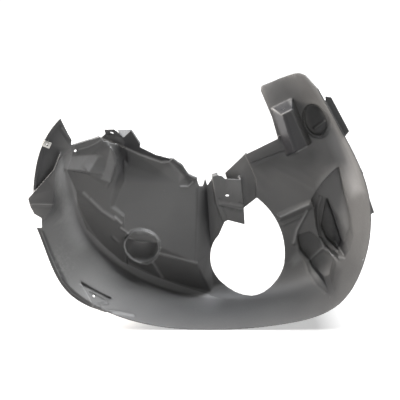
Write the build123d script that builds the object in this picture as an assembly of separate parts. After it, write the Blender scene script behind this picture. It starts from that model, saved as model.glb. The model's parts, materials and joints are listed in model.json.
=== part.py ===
from build123d import *
from build123d.topology import SkipClean
import math
import os

# A front wheel arch liner, lying on its crown. X runs along the car, +Y points inboard, Z is up.
# All sizes are in millimetres. The wheel side of the sheet is the side that faces -Y and the wheel. Pockets
# stay clear of the outboard edge by a land.
WALL = 3.0
EDGE_Y = -95.0
EDGE_LAND = 20.0
REACH = 1600.0

# Centre of the rays that the sections of the arch lie on, and the bore left open round it.
HUB_X = 60.0
HUB_Z = 420.0
HUB_R = 40.0
HUB_WALL_Y = 112.0
WALL_SLOPE = 8.0
OVERCUT = 10.0

# Sections round the arch: angle from straight down, radius at the outboard edge, radius at the inboard
# corner, how far inboard that corner is, how far from it the rounding starts, and how full the rounding
# is: 0 is a flat bevel and 1 a full parabola.
SECTIONS = (
    (-106, 378, 352, -36, 8, 0.0),
    (-80, 429, 387, 11, 10, 0.0),
    (-54, 484, 407, 54, 14, 0.0),
    (-30, 456, 412, 82, 18, 0.0),
    (-4, 421, 418, 96, 26, 0.3),
    (20, 430, 426, 98, 60, 0.8),
    (38, 448, 440, 98, 104, 1.0),
    (56, 405, 397, 98, 110, 1.0),
    (80, 335, 327, 98, 100, 1.0),
    (104, 280, 270, 98, 67, 1.0),
    (130, 271, 258, 109, 60, 1.0),
    (154, 282, 265, 147, 60, 1.0),
)

# Raised block on the inboard wall, left of the strut opening: corner points of its flat faces.
SHELF_RIGHT = (-13, 45, 119)
SHELF_LEFT = (-106, 45, 144)
SHELF_FOOT = (-54, 92, 22)
PANEL_TOP = (-8, 75, 316)
PANEL_LEFT = (-216, 29, 245)
CREST_LOW = (-216, 25, 245)
CREST_HIGH = (-273, 17, 301)
CREST_FOOT = (-286, 48, 201)
FACET_TOP = (-235, 18, 400)
FACET_END_X = -190.0
RETURN_BACK = (35, 110, 140)

# Where the flat panel steps back behind the facets: outline at the step, its depth and its slope.
PANEL_OUTLINE = (
    (-232, 275),
    (-222, 320),
    (-208, 365),
    (-220, 420),
    (-226, 560),
    (-40, 560),
    (-40, 150),
    (-130, 170),
)
STEP_Y = 15.0
STEP_DEPTH = 60.0
STEP_SLOPE = 50.0

# Round dish on the edge of the block, with a rounded lid over its upper half.
DISH_X = -149.0
DISH_Z = 168.0
DISH_FRONT_Y = 26.0
DISH_R = 42.0
DISH_DEPTH = 25.0
DISH_RIM = 4.0
LID_RISE = 29.0
LID_REACH = 10.0
LID_BACK = 5.0
LID_R = 19.0

# Pockets on the right: outline and depth below the arch.
LEAF_OUTLINE = (
    (351, 366),
    (362, 325),
    (384, 243),
    (389, 199),
    (380, 160),
    (362, 122),
    (337, 132),
    (315, 160),
    (306, 194),
    (300, 230),
    (289, 271),
    (313, 312),
)
LEAF_DEPTH = 30.0
SLOT_OUTLINE = ((332, 268), (374, 150), (366, 128), (336, 152), (322, 185))
SLOT_DEPTH = 48.0
HOLLOW_OUTLINE = (
    (255, 168),
    (266, 127),
    (288, 102),
    (298, 85),
    (326, 62),
    (340, 72),
    (352, 112),
    (337, 132),
    (315, 160),
    (290, 178),
)
HOLLOW_DEPTH = 22.0

# Oval recess and box-shaped screw boss on the right arm.
RECESS_X = 290.0
RECESS_Z = 480.0
RECESS_WIDE = 26.0
RECESS_TALL = 40.0
RECESS_LEAN = 18.0
RECESS_DEPTH = 16.0
RECESS_STEP = 6.0
BOSS_FRONT_Y = 45.0
BOSS_BACK_Y = 135.0
BOSS_FRONT = ((199, 511), (223, 524), (266, 431), (232, 413))
BOSS_BACK = ((170, 506), (222, 536), (292, 412), (220, 378))
BOSS_HOLE = (204, 74, 517)
BOSS_HOLE_AXIS = (-0.47, -0.11, 0.87)
BOSS_HOLE_R = 3.0

# Stiffening bead from the strut opening to the leaf pocket, and the lip on the edge above it.
BEAD_START = (205, 117, 219)
BEAD_END = (292, 115, 258)
BEAD_R = 18.0
LIP_OUTLINE = ((106, 394), (200, 440), (218, 404), (127, 367))
LIP_Y = 101.0
LIP_BACK = 60.0

# Open middle of the arch, with the neck that leads down to the round strut opening. An arc through three
# points is the neck's right edge.
OPEN_OUTLINE = (
    (144, 324),
    (114, 391),
    (196, 433),
    (180, 487),
    (151, 551),
    (153, 562),
    (239, 603),
    (262, 606),
    (400, 585),
    (400, 800),
    (-430, 800),
    (-430, 447),
    (-300, 450),
    (-240, 464),
    (-232, 446),
    (-149, 403),
    (-97, 382),
    (-79, 382),
    (-70, 388),
    (-48, 372),
    (-35, 353),
    (-30, 343),
    (-8, 334),
    (-2, 313),
    (7, 309),
    (13, 328),
    (19, 306),
    (41, 342),
    (68, 214),
    (38, 142),
    (36, 80),
)
NECK_EDGE = ((224, 108), (207, 195), (146, 273))
STRUT_X = 126.0
STRUT_Z = 108.0
STRUT_R = 98.0

# Bracket that bridges the top of the strut opening: front plate, lower flap, side walls, rear flap.
BRACKET_Y = 92.0
BRACKET_STEP = 5.0
BRACKET_OUTLINE = ((41, 340), (56, 337), (63, 330), (105, 328), (113, 250), (49, 262))
BRACKET_FLAP = ((48, 268), (113, 256), (117, 203), (69, 216))
BRACKET_LEFT = ((30, 336), (45, 340), (53, 262), (73, 216), (60, 208), (40, 262))
BRACKET_RIGHT = ((101, 328), (105, 328), (113, 250), (109, 250))
BRACKET_SLOT = (70, 284)
SLOT_LENGTH = 9.0
SLOT_WIDTH = 5.0
REAR_FLAP_Y = 115.0
REAR_FLAP = ((102, 376), (64, 338), (70, 318), (100, 318), (108, 236), (152, 273), (150, 326), (118, 393))

# Flanges on the outboard edge: outline in X and Z.
GUSSET = ((-335, 419), (-403, 343), (-399, 323), (-391, 305), (-366, 288), (-345, 325), (-339, 358))
GUSSET_CREASE_X = (-396, -347)
GUSSET_CREASE_Z = 327.0
STRIP_OUTER = ((-388, 270), (-361, 178), (-321, 98), (-279, 65), (-200, 46))
STRIP_INNER = ((-200, 70), (-330, 200), (-345, 270))
TAB_LONG = ((283, 584), (297, 582), (343, 502), (331, 486), (300, 500))
TAB_LONG_Y = -80.0
TAB_UPPER = ((325, 480), (337, 482), (379, 405), (355, 400))
TAB_LOWER = ((360, 404), (374, 402), (411, 308), (390, 300))

# Wing flange at the left end: it stands on a slanted plane, outline along that plane and in Z.
WING_FOOT = (-341, -72, 0)
WING_SLANT = 0.3
WING_CURVE = ((-26, 300), (-51, 340), (-48, 392), (-38, 435), (-24, 471), (21, 530))
WING_SIDE = ((43, 476), (42, 452), (7, 428), (-16, 360))
WING_RIM = 8.0
WING_RIM_RISE = 1.5

# Flange on the top edge of the panel, with an ear, a pointed tab and a plate folded back behind the tab.
FLANGE_START = (-244, 55, 452)
FLANGE_END = (-93, 70, 381)
FLANGE_LEAN = 32.0
FLANGE_OUTLINE = (
    (80, -5),
    (-4, -22),
    (6, 18),
    (-1, 30),
    (19, 45),
    (28, 42),
    (49, 31),
    (56, 67),
    (91, 34),
    (98, 21),
    (142, 17),
    (180, 26),
    (178, 8),
    (166, -5),
)
EAR_SLOT = (19, 31)
FOLD_CORNERS = ((-195, 52, 441), (-147, 48, 432), (-146, 55, 436), (-170, 91, 460), (-205, 85, 462))
PANEL_ROLL = ((-93, 70, 381), (-70, 75, 387), (-48, 76, 371), (-32, 75, 346), (-8, 78, 334))
PANEL_ROLL_R = 4.5

# Fastening pocket near the outboard edge at the lower left.
POCKET_CORNERS = ((-296, -61, 115), (-262, -94, 68), (-218, -50, 63))
POCKET_DEPTH = 8.0
FASTENER_R = 3.5
DRILL_DEPTH = 24.0

# Small hole on the right and the round boss at the left end.
SIDE_HOLE = (394, -82, 182)
SIDE_HOLE_AXIS = (-0.96, -0.14, 0.23)
END_BOSS = (-301, 3, 431)
END_BOSS_AXIS = (0.24, -0.95, 0.16)
END_BOSS_R = 9.0
END_BOSS_RISE = 5.0
END_LIP_START = (-305, -2, 444)
END_LIP_END = (-242, 16, 460)
END_LIP_R = 5.0

# Spring-steel clip nut on the curved edge of the wing flange.
CLIP_PLACE = 0.73
CLIP_LENGTH = 18.0
CLIP_WIDTH = 15.0
CLIP_SHEET = 1.0
CLIP_CLEAR = 0.3
CLIP_BARREL_R = 4.5
CLIP_BARREL_RISE = 4.0
CLIP_BORE_R = 2.4


def vec(point):
    return Vector(*point)


def plane_through(a, b, c):
    """Plane through three points, with its normal towards the wheel."""
    normal = (vec(b) - vec(a)).cross(vec(c) - vec(a))
    if normal.Y > 0:
        normal = normal * -1
    return Plane(origin=a, x_dir=vec(b) - vec(a), z_dir=normal)


def plane_away(a, b, c, inside):
    """Plane through three points, with its normal away from a point inside the shape."""
    normal = (b - a).cross(c - a)
    if normal.dot(a - inside) < 0:
        normal = normal * -1
    return Plane(origin=a, x_dir=b - a, z_dir=normal)


def behind(plane, shift):
    """Everything behind a plane, moved back by a distance."""
    return plane * Pos(0, 0, -REACH / 2 - shift) * Box(REACH, REACH, REACH)


def upright(y):
    """Plane that faces the wheel: local x and y are X and Z."""
    return Plane(origin=(0, y, 0), x_dir=(1, 0, 0), z_dir=(0, -1, 0))


def flat(points, y, grow=0.0):
    """Flat face with an outline given in X and Z, at a distance inboard."""
    face = make_face(Polyline(*points, close=True))
    if grow:
        face = offset(face, grow, kind=Kind.INTERSECTION)
    return upright(y) * face


def local_face(plane, points):
    """Face in a plane's own coordinates, with corners at points in space."""
    corners = [plane.to_local_coords(vec(p)) for p in points]
    return make_face(Polyline(*[(c.X, c.Y) for c in corners], close=True))


def prism(points, y_start, y_end, grow=0.0):
    return extrude(flat(points, y_start, grow), y_end - y_start, dir=(0, 1, 0))


def bar(start, end, radius):
    """Round bar from point to point."""
    along = vec(end) - vec(start)
    straight = Cylinder(radius, along.length, align=(Align.CENTER, Align.CENTER, Align.MIN))
    return Plane(origin=start, z_dir=along) * straight


def ray_plane(angle):
    """Section plane through the hub: local x is the radius, local y points inboard."""
    a = math.radians(angle)
    outward = (math.sin(a), 0, -math.cos(a))
    return Plane(origin=(HUB_X, 0, HUB_Z), x_dir=outward, z_dir=(math.cos(a), 0, math.sin(a)))


def section(row, grow):
    """Outline of the wheel space on one ray, run past the outboard edge, with a parabola at its corner."""
    angle, edge_r, corner_r, corner_y, blend, fullness = row
    flare = (edge_r - corner_r) / (corner_y - EDGE_Y)
    front_y = EDGE_Y - OVERCUT
    wall_y = max(HUB_WALL_Y, corner_y + WALL_SLOPE)
    corner = Vector(corner_r + grow, corner_y + grow)
    edge = Vector(edge_r + flare * OVERCUT + grow, front_y)
    hub = Vector(HUB_R, wall_y + grow)
    leave = corner + (edge - corner).normalized() * (blend + grow)
    arrive = corner + (hub - corner).normalized() * (blend + grow)
    middle = (leave + arrive) * 0.5
    pull = middle + (corner - middle) * fullness
    straight = Polyline(arrive, hub, (HUB_R, front_y), edge, leave)
    return ray_plane(angle) * make_face(straight + Bezier(leave, pull, arrive))


def arch_space(grow):
    """Space under the plain arch, grown outward by a distance."""
    return loft([section(row, grow) for row in SECTIONS])


def sunk(points, depth, grow):
    """Pocket whose floor runs parallel to the arch."""
    return prism(points, EDGE_Y + EDGE_LAND, REACH / 4, grow) & arch_space(depth + grow)


def facet_block(grow):
    front = plane_through(CREST_LOW, CREST_HIGH, FACET_TOP)
    slope = plane_through(CREST_LOW, CREST_HIGH, CREST_FOOT)
    end = Plane(origin=(FACET_END_X, 0, 0), z_dir=(1, 0, 0))
    return behind(front, grow) & behind(slope, grow) & behind(end, grow)


def panel_block(grow):
    front = plane_through(SHELF_RIGHT, PANEL_LEFT, PANEL_TOP)
    shelf = plane_through(SHELF_RIGHT, SHELF_LEFT, SHELF_FOOT)
    slope = plane_through(CREST_LOW, CREST_HIGH, CREST_FOOT)
    side = plane_through(PANEL_TOP, SHELF_RIGHT, RETURN_BACK)
    return behind(front, grow) & behind(shelf, grow) & behind(slope, grow) & behind(side, grow)


def panel_step(grow):
    """Room in front of the flat panel, with a sloping step at its left."""
    straight = prism(PANEL_OUTLINE, EDGE_Y + EDGE_LAND, STEP_Y, grow)
    mouth = flat(PANEL_OUTLINE, STEP_Y, grow)
    floor = flat(PANEL_OUTLINE, STEP_Y + STEP_DEPTH, grow - STEP_SLOPE)
    room = straight + loft([mouth, floor], ruled=True)
    front = plane_through(SHELF_RIGHT, PANEL_LEFT, PANEL_TOP)
    return room - behind(front, grow)


def dish_boss(grow):
    face = upright(DISH_FRONT_Y + grow) * Pos(DISH_X, DISH_Z) * Circle(DISH_R + DISH_RIM - grow)
    return extrude(face, REACH / 8, dir=(0, 1, 0))


def dish_bowl(grow):
    ball = (DISH_R**2 + DISH_DEPTH**2) / (2 * DISH_DEPTH)
    return Pos(DISH_X, DISH_FRONT_Y + DISH_DEPTH - ball, DISH_Z) * Sphere(ball + grow)


def dish_lid(grow):
    """Rounded lid that fills the upper half of the dish."""
    y = DISH_FRONT_Y + LID_BACK + LID_R
    z = DISH_Z + LID_RISE
    left = (DISH_X - LID_REACH, y, z)
    right = (DISH_X + LID_REACH, y, z)
    radius = LID_R - grow
    return bar(left, right, radius) + [Pos(*left) * Sphere(radius), Pos(*right) * Sphere(radius)]


def screw_boss(grow):
    """Box with a flat front and four flat sides that spread towards the wall."""
    front = [vec((x, BOSS_FRONT_Y, z)) for x, z in BOSS_FRONT]
    back = [vec((x, BOSS_BACK_Y, z)) for x, z in BOSS_BACK]
    inside = sum(front + back, Vector(0, 0, 0)) * (1 / len(front + back))
    box = behind(plane_away(front[0], front[1], front[2], inside), grow)
    for i in range(len(front)):
        box &= behind(plane_away(front[i - 1], front[i], back[i], inside), grow)
    return box


def oval_recess(depth, wider, grow):
    oval = Pos(RECESS_X, RECESS_Z) * Rot(0, 0, RECESS_LEAN) * Ellipse(
        RECESS_WIDE + wider + grow, RECESS_TALL + wider + grow
    )
    column = extrude(upright(0) * oval, REACH / 8, dir=(0, 1, 0))
    return column & arch_space(depth + grow)


def bead(grow):
    return bar(BEAD_START, BEAD_END, BEAD_R - grow)


def edge_lip(grow):
    return prism(LIP_OUTLINE, LIP_Y + grow, LIP_Y + LIP_BACK, -grow)


def pocket_plane():
    return plane_through(*POCKET_CORNERS)


def fastening_pocket(grow):
    plane = pocket_plane()
    face = local_face(plane, POCKET_CORNERS)
    if grow:
        face = offset(face, grow, kind=Kind.INTERSECTION)
    pocket = plane * Pos(0, 0, -POCKET_DEPTH - grow) * extrude(face, 3 * POCKET_DEPTH)
    return pocket & behind(upright(EDGE_Y), 0)


def wheel_space(grow):
    """Space on the wheel side of the whole sheet, grown outward by a distance."""
    space = arch_space(grow) - facet_block(grow)
    space += [
        panel_step(grow),
        sunk(LEAF_OUTLINE, LEAF_DEPTH, grow),
        sunk(SLOT_OUTLINE, SLOT_DEPTH, grow),
        sunk(HOLLOW_OUTLINE, HOLLOW_DEPTH, grow),
        oval_recess(RECESS_STEP, RECESS_STEP, grow),
        oval_recess(RECESS_DEPTH, 0, grow),
        fastening_pocket(grow),
    ]
    space -= [panel_block(grow), dish_boss(grow), screw_boss(grow), bead(grow), edge_lip(grow)]
    space += dish_bowl(grow)
    space -= dish_lid(grow)
    return space


def open_middle():
    rest = Polyline(NECK_EDGE[-1], *OPEN_OUTLINE, NECK_EDGE[0])
    face = make_face(ThreePointArc(*NECK_EDGE) + rest)
    return extrude(upright(-REACH / 4) * face, REACH / 2, dir=(0, 1, 0))


def strut_opening():
    return extrude(upright(0) * Pos(STRUT_X, STRUT_Z) * Circle(STRUT_R), REACH / 4, dir=(0, 1, 0))


def bracket():
    """Front plate and lower flap, carried by side walls that run back to the inboard wall."""
    plate = prism(BRACKET_OUTLINE, BRACKET_Y, BRACKET_Y + WALL)
    flap_y = BRACKET_Y + BRACKET_STEP
    flap = prism(BRACKET_FLAP, flap_y - WALL, flap_y)
    left = prism(BRACKET_LEFT, BRACKET_Y, REAR_FLAP_Y)
    right = prism(BRACKET_RIGHT, BRACKET_Y, REAR_FLAP_Y + WALL)
    rear = prism(REAR_FLAP, REAR_FLAP_Y, REAR_FLAP_Y + WALL)
    slot = Pos(*BRACKET_SLOT) * SlotOverall(SLOT_LENGTH, SLOT_WIDTH)
    cut = extrude(upright(BRACKET_Y - WALL) * slot, 3 * WALL, dir=(0, 1, 0))
    return plate + [flap, left, right, rear] - cut


def wing_plane():
    return Plane(origin=WING_FOOT, x_dir=(1, WING_SLANT, 0), z_dir=(WING_SLANT, -1, 0))


def wing_face():
    curve = Spline(*WING_CURVE)
    return make_face(curve + Polyline(WING_CURVE[-1], *WING_SIDE, WING_CURVE[0]))


def wing_flange():
    plate = extrude(wing_face(), WALL)
    rim = extrude(wing_face() - Pos(WING_RIM, 0) * wing_face(), WALL + WING_RIM_RISE)
    return wing_plane() * (plate + rim)


def flange_plane():
    """Plane of the panel's top flange: local x runs along the edge, and it leans to the wheel."""
    along = (vec(FLANGE_END) - vec(FLANGE_START)).normalized()
    lean = math.radians(FLANGE_LEAN)
    up = Vector(0, -math.sin(lean), math.cos(lean))
    return Plane(origin=FLANGE_START, x_dir=along, z_dir=along.cross(up))


def top_flange():
    face = make_face(Polyline(*FLANGE_OUTLINE, close=True))
    slot = Pos(*EAR_SLOT) * SlotOverall(SLOT_LENGTH, SLOT_WIDTH)
    plate = flange_plane() * extrude(face - slot, WALL)
    fold_plane = plane_through(*FOLD_CORNERS[:3])
    fold = fold_plane * extrude(local_face(fold_plane, FOLD_CORNERS), -WALL)
    rolls = [bar(a, b, PANEL_ROLL_R) for a, b in zip(PANEL_ROLL, PANEL_ROLL[1:])]
    return plate + [fold, *rolls]


def edge_flanges():
    """Plates on the outboard edge. All but the gusset are cut back to the middle of the tread wall."""
    strip_face = make_face(Spline(*STRIP_OUTER) + Polyline(STRIP_OUTER[-1], *STRIP_INNER, STRIP_OUTER[0]))
    strip = extrude(upright(EDGE_Y) * strip_face, WALL, dir=(0, 1, 0))
    tabs = [
        prism(TAB_LONG, TAB_LONG_Y, TAB_LONG_Y + WALL),
        prism(TAB_UPPER, EDGE_Y, EDGE_Y + WALL),
        prism(TAB_LOWER, EDGE_Y, EDGE_Y + WALL),
    ]
    crease_y = EDGE_Y + WALL / 3
    crease_ends = [(x, crease_y, GUSSET_CREASE_Z) for x in GUSSET_CREASE_X]
    gusset = prism(GUSSET, EDGE_Y, EDGE_Y + WALL)
    return strip + tabs - arch_space(WALL / 2) + [gusset, bar(*crease_ends, WALL)]


def end_fittings():
    boss = drill(END_BOSS, END_BOSS_AXIS, END_BOSS_R, 2 * END_BOSS_RISE)
    lip = bar(END_LIP_START, END_LIP_END, END_LIP_R)
    return boss + lip


def drill(point, normal, radius, depth):
    return Plane(origin=point, z_dir=normal) * Cylinder(radius, depth)


def pocket_hole():
    """Screw hole square through the middle of the fastening pocket's floor."""
    middle = sum([vec(p) for p in POCKET_CORNERS], Vector(0, 0, 0)) * (1 / len(POCKET_CORNERS))
    normal = pocket_plane().z_dir
    return drill(middle - normal * POCKET_DEPTH, normal, FASTENER_R, DRILL_DEPTH)


def make_liner():
    sheet = wheel_space(WALL) & behind(upright(EDGE_Y), 0)
    sheet -= [open_middle(), strut_opening()]
    sheet -= wheel_space(0.0)
    sheet += [bracket(), top_flange(), edge_flanges(), wing_flange(), end_fittings()]
    sheet -= [
        drill(BOSS_HOLE, BOSS_HOLE_AXIS, BOSS_HOLE_R, DRILL_DEPTH),
        drill(SIDE_HOLE, SIDE_HOLE_AXIS, FASTENER_R, DRILL_DEPTH),
        drill(END_BOSS, END_BOSS_AXIS, FASTENER_R, DRILL_DEPTH),
        pocket_hole(),
        clip_place() * Pos(CLIP_LENGTH / 2, 0, 0) * Cylinder(FASTENER_R, DRILL_DEPTH),
    ]
    return sheet


def clip_place():
    """Where the clip's fold meets the wing's curved edge: local x points into the wing."""
    edge = Spline(*WING_CURVE)
    along = edge % CLIP_PLACE
    turn = math.degrees(math.atan2(along.Y, along.X)) - 90
    return wing_plane() * Pos(edge @ CLIP_PLACE) * Rot(0, 0, turn)


def make_clip():
    """Folded sheet clip: two legs over the flange edge, with a threaded barrel on the outer leg."""
    gap = WALL + WING_RIM_RISE + 2 * CLIP_CLEAR
    outer = gap + 2 * CLIP_SHEET
    profile = make_face(
        Polyline(
            (-CLIP_SHEET - CLIP_CLEAR, -CLIP_SHEET),
            (CLIP_LENGTH, -CLIP_SHEET),
            (CLIP_LENGTH, 0),
            (-CLIP_CLEAR, 0),
            (-CLIP_CLEAR, gap),
            (CLIP_LENGTH, gap),
            (CLIP_LENGTH, gap + CLIP_SHEET),
            (-CLIP_SHEET - CLIP_CLEAR, gap + CLIP_SHEET),
            close=True,
        )
    )
    strap = Plane.XZ * extrude(profile, CLIP_WIDTH / 2, both=True)
    barrel = Pos(CLIP_LENGTH / 2, 0, gap + CLIP_SHEET / 2) * Cylinder(
        CLIP_BARREL_R, CLIP_BARREL_RISE, align=(Align.CENTER, Align.CENTER, Align.MIN)
    )
    bore = Pos(CLIP_LENGTH / 2, 0, 0) * Cylinder(CLIP_BORE_R, 4 * outer)
    clip = Pos(0, 0, -CLIP_CLEAR) * (strap + barrel - bore)
    return clip_place() * clip


with SkipClean():
    liner = make_liner()
clip = make_clip()
seat = liner.bounding_box()
origin = Pos(-seat.center().X, -seat.center().Y, -seat.min.Z)
print("solids", [round(s.volume) for s in liner.solids()], "valid", liner.is_valid)
print("origin", seat.center().X, seat.center().Y, seat.min.Z, "size", seat.size)
os.makedirs("parts", exist_ok=True)
export_step(origin * liner, "parts/liner.step", write_pcurves=False)
export_step(origin * clip, "parts/edge_clip.step", write_pcurves=False)
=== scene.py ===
# %% [markdown]
# # A moulded wheel arch liner
# This lesson dresses a car's wheel arch liner, the dark plastic skin that keeps a front wheel's spray off
# the bodywork. The imported model gives its true shape and size. Blender adds what the mould adds:
# rounded creases, ribs, grain, scuffs and a soft sheen. The frame is loaded first.

# %% Load the frame
import json
import math
import bmesh
import bpy
import numpy as np
from mathutils import Euler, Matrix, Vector
from mathutils.bvhtree import BVHTree


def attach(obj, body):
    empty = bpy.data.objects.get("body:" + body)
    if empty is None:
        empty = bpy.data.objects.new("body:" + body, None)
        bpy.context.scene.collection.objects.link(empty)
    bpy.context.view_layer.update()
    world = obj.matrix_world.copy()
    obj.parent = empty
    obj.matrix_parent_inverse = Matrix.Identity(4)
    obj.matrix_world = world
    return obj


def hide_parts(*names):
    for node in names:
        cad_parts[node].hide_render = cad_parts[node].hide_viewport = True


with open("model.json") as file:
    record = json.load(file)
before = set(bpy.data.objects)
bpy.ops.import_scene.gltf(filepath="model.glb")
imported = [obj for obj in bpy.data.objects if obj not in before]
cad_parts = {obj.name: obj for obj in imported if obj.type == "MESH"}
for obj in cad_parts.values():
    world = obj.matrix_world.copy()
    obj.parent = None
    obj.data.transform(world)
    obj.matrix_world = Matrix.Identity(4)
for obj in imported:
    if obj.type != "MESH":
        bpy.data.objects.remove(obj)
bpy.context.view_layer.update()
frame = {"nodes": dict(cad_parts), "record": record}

MM = 0.001
scene = bpy.context.scene
scene.view_settings.view_transform = "Standard"

# %% [markdown]
# ## Where the camera stands
# The camera stands about two metres away and looks down by 20 degrees at the liner's wheel side.
# Sizes on the drawing count from a zero under the crown of the arch, and the frame counts from the middle
# of the liner's box. The screw hole in the box-shaped boss is known in both, so it ties them together.

# %% Camera
BOSS_HOLE_MM = Vector((204.4, 74.1, 516.3))
CAMERA_MM = Vector((0.0, -1973.35, 1023.82))
LOOK_DOWN_DEG = 20.0
PICTURE_PX = 400
FOCAL_PX = 853.66
SENSOR_MM = 36.0

boss_hole = next(m for m in frame["record"]["mounts"] if m["name"] == "boss_hole")
zero = Vector(boss_hole["pos_m"]) - BOSS_HOLE_MM * MM

camera = bpy.data.objects.new("camera", bpy.data.cameras.new("camera"))
scene.collection.objects.link(camera)
camera.location = zero + CAMERA_MM * MM
camera.rotation_euler = Euler((math.radians(90 - LOOK_DOWN_DEG), 0, 0))
camera.data.sensor_width = SENSOR_MM
camera.data.lens = SENSOR_MM * FOCAL_PX / PICTURE_PX
scene.camera = camera
print("camera at", tuple(round(c, 3) for c in camera.location), "lens", round(camera.data.lens, 2))

# %% [markdown]
# ## Colours and nodes
# Colours are written the way a paint program shows them, as sRGB hex, and Blender's shaders want linear
# light, so one function turns one into the other. One more function adds a shader node, sets it and links
# it, which keeps each material below short enough to read. Sockets that share a name are given by number:
# a Map Range takes its value at 0, the range it comes from at 1 and 2, and the range it goes to at 3 and 4,
# and a colour Mix takes its factor at 0 and its two colours at 6 and 7.

# %% Colour and node helpers
def linear(hex_colour):
    """An sRGB hex colour as linear red, green, blue and alpha."""
    parts = [int(hex_colour[i:i + 2], 16) / 255 for i in (1, 3, 5)]
    return tuple(c / 12.92 if c <= 0.04045 else ((c + 0.055) / 1.055) ** 2.4 for c in parts) + (1.0,)


def add_node(tree, kind, settings, inputs):
    """Add a node: settings are its own properties, inputs are values or the sockets that feed it."""
    node = tree.nodes.new(kind)
    for name, value in settings.items():
        setattr(node, name, value)
    for name, value in inputs.items():
        if isinstance(value, bpy.types.NodeSocket):
            tree.links.new(value, node.inputs[name])
        else:
            node.inputs[name].default_value = value
    return node


def new_material(name):
    """An empty node material and its tree, with only the output in it."""
    material = bpy.data.materials.new(name)
    material.use_nodes = True
    material.node_tree.nodes.clear()
    output = material.node_tree.nodes.new("ShaderNodeOutputMaterial")
    return material, material.node_tree, output


def per_metre(size_mm):
    """Texture scale that makes one feature of a pattern about this many millimetres wide."""
    return 1 / (size_mm * MM)


print("mid grey #808080 is", round(linear("#808080")[0], 3), "in linear light")

# %% [markdown]
# ## Floor, backdrop and light
# The picture is a plain product shot on white. A large floor carries the liner and its shadow. Rays that
# come straight from the camera, or by way of a mirror-like surface, see the floor a little lifted towards
# white, while the light that the floor sends up to the plastic stays what a white table gives.

# %% Floor
FLOOR_HALF_M = 15.0
FLOOR_WHITE = "#a6a6a6"
NEAR_LIFT = 0.5
FAR_LIFT = 1.0
NEAR_M = 0.8
FAR_M = 2.4
PAPER_FIBRE_MM = 2.0
PAPER_DEPTH_MM = 0.1
PAPER_STRENGTH = 0.05
PAPER_ROUGH = 0.9

floor_material, tree, output = new_material("white_studio_paper")
rays = add_node(tree, "ShaderNodeLightPath", {}, {})
seen = add_node(tree, "ShaderNodeMath", {"operation": "MAXIMUM"},
                {0: rays.outputs["Is Camera Ray"], 1: rays.outputs["Is Glossy Ray"]})
seen = add_node(tree, "ShaderNodeMath", {"operation": "MAXIMUM"},
                {0: seen.outputs[0], 1: rays.outputs["Is Transmission Ray"]})
spot = add_node(tree, "ShaderNodeTexCoord", {}, {}).outputs["Object"]
away = add_node(tree, "ShaderNodeVectorMath", {"operation": "LENGTH"}, {0: spot})
paler = add_node(tree, "ShaderNodeMapRange", {},
                 {0: away.outputs["Value"], 1: NEAR_M, 2: FAR_M, 3: NEAR_LIFT, 4: FAR_LIFT})
lift = add_node(tree, "ShaderNodeMath", {"operation": "MULTIPLY"}, {0: seen.outputs[0], 1: paler.outputs[0]})
fibre = add_node(tree, "ShaderNodeTexNoise", {}, {"Scale": per_metre(PAPER_FIBRE_MM), "Detail": 2.0})
paper = add_node(tree, "ShaderNodeBump", {},
                 {"Strength": PAPER_STRENGTH, "Distance": PAPER_DEPTH_MM * MM, "Height": fibre.outputs[0]})
matt = add_node(tree, "ShaderNodeBsdfPrincipled", {},
                {"Base Color": linear(FLOOR_WHITE), "Roughness": PAPER_ROUGH, "Normal": paper.outputs[0],
                 "Emission Color": (1, 1, 1, 1), "Emission Strength": lift.outputs[0]})
tree.links.new(matt.outputs[0], output.inputs[0])

floor_mesh = bpy.data.meshes.new("floor")
corners = [(x * FLOOR_HALF_M, y * FLOOR_HALF_M, 0) for x, y in ((-1, -1), (1, -1), (1, 1), (-1, 1))]
floor_mesh.from_pydata(corners, [], [(0, 1, 2, 3)])
floor_mesh.materials.append(floor_material)
floor = bpy.data.objects.new("floor", floor_mesh)
scene.collection.objects.link(floor)
print("floor", 2 * FLOOR_HALF_M, "m square")

# %% [markdown]
# The light is soft and comes from several sides, as in a small product studio: a strong box low at the left,
# a weaker one above it, one at the upper right, one overhead, a faint one in front, and a pale room round it
# all. Large lamps give the broad, blurred highlights that show how the sheet curves. The room is brighter to
# mirrored rays than to the rest, so the plastic's sheen shows it without more light on the sheet.

# %% Lamps and world
# Each row: name, place and size in metres, watts, colour.
LAMPS = (
    ("left_box", (-2.2, 0.1, 1.4), (1.2, 1.2), 168.0, "#fff7f0"),
    ("upper_left_box", (-1.6, -0.2, 2.0), (1.2, 1.2), 36.0, "#ffffff"),
    ("upper_right_box", (1.3, 0.2, 2.4), (1.2, 1.2), 104.0, "#ffffff"),
    ("top_box", (0.0, 0.2, 2.5), (1.6, 1.2), 54.0, "#f3f7ff"),
    ("front_box", (-0.3, -2.6, 1.5), (2.0, 1.4), 5.0, "#ffffff"),
)
AIM_M = Vector((0.0, 0.0, 0.25))
ROOM_LIGHT = 0.05
ROOM_SHEEN = 0.5

for name, place, size, watts, colour in LAMPS:
    lamp = bpy.data.lights.new(name, "AREA")
    lamp.shape = "RECTANGLE"
    lamp.size, lamp.size_y = size
    lamp.energy = watts
    lamp.color = linear(colour)[:3]
    holder = bpy.data.objects.new(name, lamp)
    holder.location = place
    holder.rotation_euler = (AIM_M - Vector(place)).to_track_quat("-Z", "Y").to_euler()
    scene.collection.objects.link(holder)

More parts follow.
